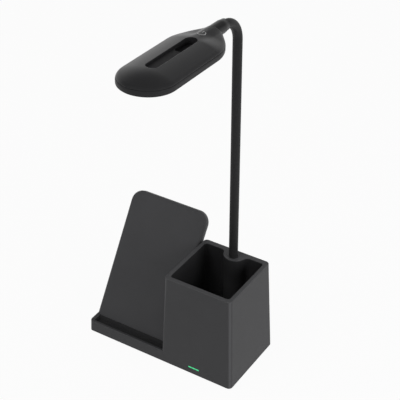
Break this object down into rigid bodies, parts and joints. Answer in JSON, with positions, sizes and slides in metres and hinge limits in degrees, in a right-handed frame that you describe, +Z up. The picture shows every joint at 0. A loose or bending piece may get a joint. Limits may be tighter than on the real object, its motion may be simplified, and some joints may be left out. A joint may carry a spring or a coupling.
{
  "type": "desk lamp with organizer base",
  "caption": "Gooseneck desk lamp with a slotted flat head on a base with a square pen cup and a leaning phone stand with a ledge.",
  "frame": {"origin": "middle of the anti-slip mat's underside, on the surface that the lamp stands on", "axes": "+Z up, +X to the right along the base's width, -Y is the front, where the head points"},
  "size_m": [0.164, 0.1802, 0.359],
  "materials": {
    "housing_plastic": "fine matt moulded charcoal",
    "inner_plastic": "matt moulded near-black",
    "soft_rubber": "soft matt silicone",
    "sleeve_silicone": "satin silicone sleeve",
    "core_steel": "wound spring steel",
    "collar_metal": "satin black paint",
    "zinc_steel": "zinc plated",
    "ballast_steel": "bare plate",
    "circuit_board": "green solder mask",
    "indicator_chips": "white board with green lights",
    "indicator_green": "clear bar, lit green",
    "coil_copper": "enamelled copper wire",
    "ferrite": "matt grey ferrite",
    "opal_diffuser": "opal, satin",
    "white_plastic": "white",
    "led_phosphor": "yellow phosphor"
  },
  "bodies": {
    "root": {"anti_slip_mat": "soft_rubber", "arm_end_fitting": "zinc_steel", "arm_lock_nut": "zinc_steel", "arm_lock_washer": "zinc_steel", "ballast_plate": "ballast_steel", "base_housing": "housing_plastic", "bottom_cover": "inner_plastic", "bottom_screws": "zinc_steel", "charging_coil": "coil_copper", "coil_board": "circuit_board", "cup_floor": "inner_plastic", "ferrite_sheet": "ferrite", "gooseneck_core_0": "core_steel", "gooseneck_sleeve_0": "sleeve_silicone", "indicator_led": "indicator_chips", "indicator_light_pipe": "indicator_green", "ledge_pad": "soft_rubber", "main_board": "circuit_board", "power_socket": "zinc_steel", "stand_back_cover": "housing_plastic", "stand_front_shell": "housing_plastic", "stand_screws": "zinc_steel"},
    "link_1": {"gooseneck_sleeve_1": "sleeve_silicone", "gooseneck_core_1": "core_steel"},
    "link_2": {"gooseneck_sleeve_2": "sleeve_silicone", "gooseneck_core_2": "core_steel"},
    "link_3": {"gooseneck_sleeve_3": "sleeve_silicone", "gooseneck_core_3": "core_steel"},
    "link_4": {"gooseneck_sleeve_4": "sleeve_silicone", "gooseneck_core_4": "core_steel"},
    "link_5": {"gooseneck_sleeve_5": "sleeve_silicone", "gooseneck_core_5": "core_steel"},
    "link_6": {"gooseneck_sleeve_6": "sleeve_silicone", "gooseneck_core_6": "core_steel"},
    "link_7": {"gooseneck_sleeve_7": "sleeve_silicone", "gooseneck_core_7": "core_steel"},
    "head": {"gooseneck_sleeve_8": "sleeve_silicone", "gooseneck_core_8": "core_steel", "head_collar": "collar_metal", "head_top_shell": "housing_plastic", "head_lower_housing": "housing_plastic", "head_screws": "zinc_steel", "slot_floor": "inner_plastic", "light_diffuser": "opal_diffuser", "light_reflector": "white_plastic", "led_board": "circuit_board", "led_chips": "led_phosphor", "touch_sensor": "circuit_board"}
  },
  "joints": [
    {"name": "neck_bend_1", "type": "hinge", "parent": "root", "child": "link_1", "pos_m": [0.044, 0.0264, 0.125], "axis": [1, 0, 0], "range_deg": [-20, 20]},
    {"name": "neck_bend_2", "type": "hinge", "parent": "link_1", "child": "link_2", "pos_m": [0.044, 0.0264, 0.155], "axis": [0, 1, 0], "range_deg": [-15, 15]},
    {"name": "neck_bend_3", "type": "hinge", "parent": "link_2", "child": "link_3", "pos_m": [0.044, 0.0264, 0.185], "axis": [1, 0, 0], "range_deg": [-20, 20]},
    {"name": "neck_bend_4", "type": "hinge", "parent": "link_3", "child": "link_4", "pos_m": [0.044, 0.0264, 0.215], "axis": [0, 1, 0], "range_deg": [-15, 15]},
    {"name": "neck_bend_5", "type": "hinge", "parent": "link_4", "child": "link_5", "pos_m": [0.044, 0.0264, 0.245], "axis": [1, 0, 0], "range_deg": [-20, 20]},
    {"name": "neck_bend_6", "type": "hinge", "parent": "link_5", "child": "link_6", "pos_m": [0.044, 0.0264, 0.275], "axis": [0, 1, 0], "range_deg": [-15, 15]},
    {"name": "neck_bend_7", "type": "hinge", "parent": "link_6", "child": "link_7", "pos_m": [0.044, 0.0264, 0.305], "axis": [1, 0, 0], "range_deg": [-20, 20]},
    {"name": "neck_bend_8", "type": "hinge", "parent": "link_7", "child": "head", "pos_m": [0.044, 0.01996, 0.34266], "axis": [1, 0, 0], "range_deg": [-20, 20]}
  ]
}
